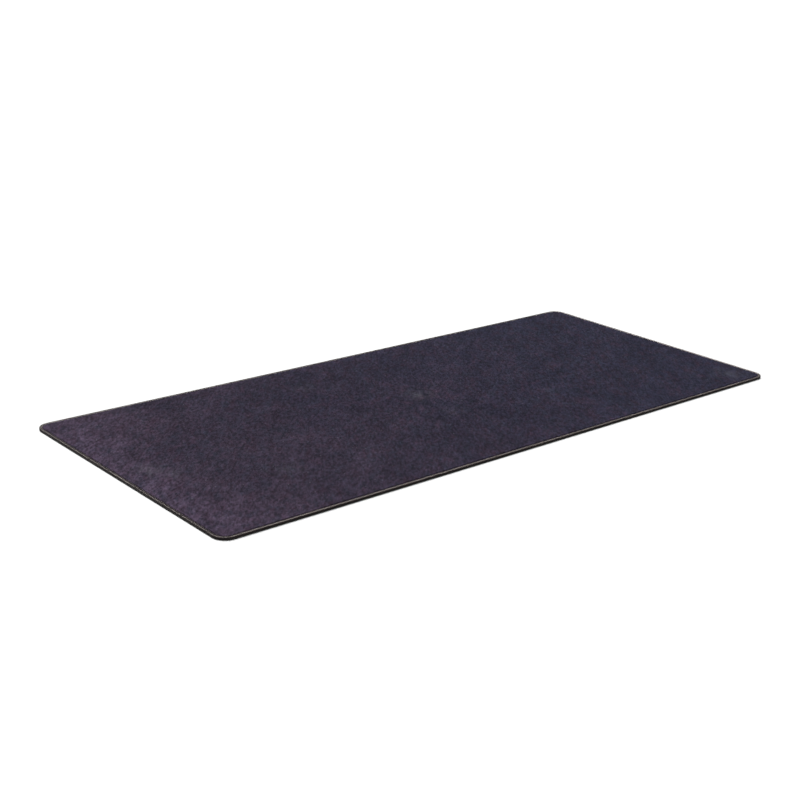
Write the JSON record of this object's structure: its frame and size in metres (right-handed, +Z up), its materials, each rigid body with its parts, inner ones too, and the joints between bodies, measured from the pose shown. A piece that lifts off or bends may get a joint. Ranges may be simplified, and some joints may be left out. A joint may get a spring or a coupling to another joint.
{
  "type": "desk mat",
  "caption": "Large soft desk mat: a dark knitted cloth bonded to a foam-rubber base, with round corners and a black overlocked edge.",
  "frame": {"origin": "centre of the mat's footprint, on the plane of its underside", "axes": "+X along the long side, +Y across the mat to its back long side, +Z up out of the cloth face"},
  "size_m": [0.9, 0.4, 0.004],
  "materials": {
    "cloth": "matte fine-knit polyester with a slight nap, charcoal with a purple to blue cast",
    "hot_melt_film": "thin milky hot-melt film, hidden between the cloth and the rubber",
    "foam_rubber": "black open-textured natural-rubber foam with a fine embossed anti-slip underside",
    "looper_thread": "black textured polyester overlock thread with a soft satin sheen",
    "needle_thread": "black spun polyester sewing thread"
  },
  "bodies": {
    "root": {"cloth_top": "cloth", "adhesive_film": "hot_melt_film", "rubber_base": "foam_rubber", "upper_looper_thread": "looper_thread", "lower_looper_thread": "looper_thread", "needle_thread": "needle_thread"}
  },
  "joints": []
}
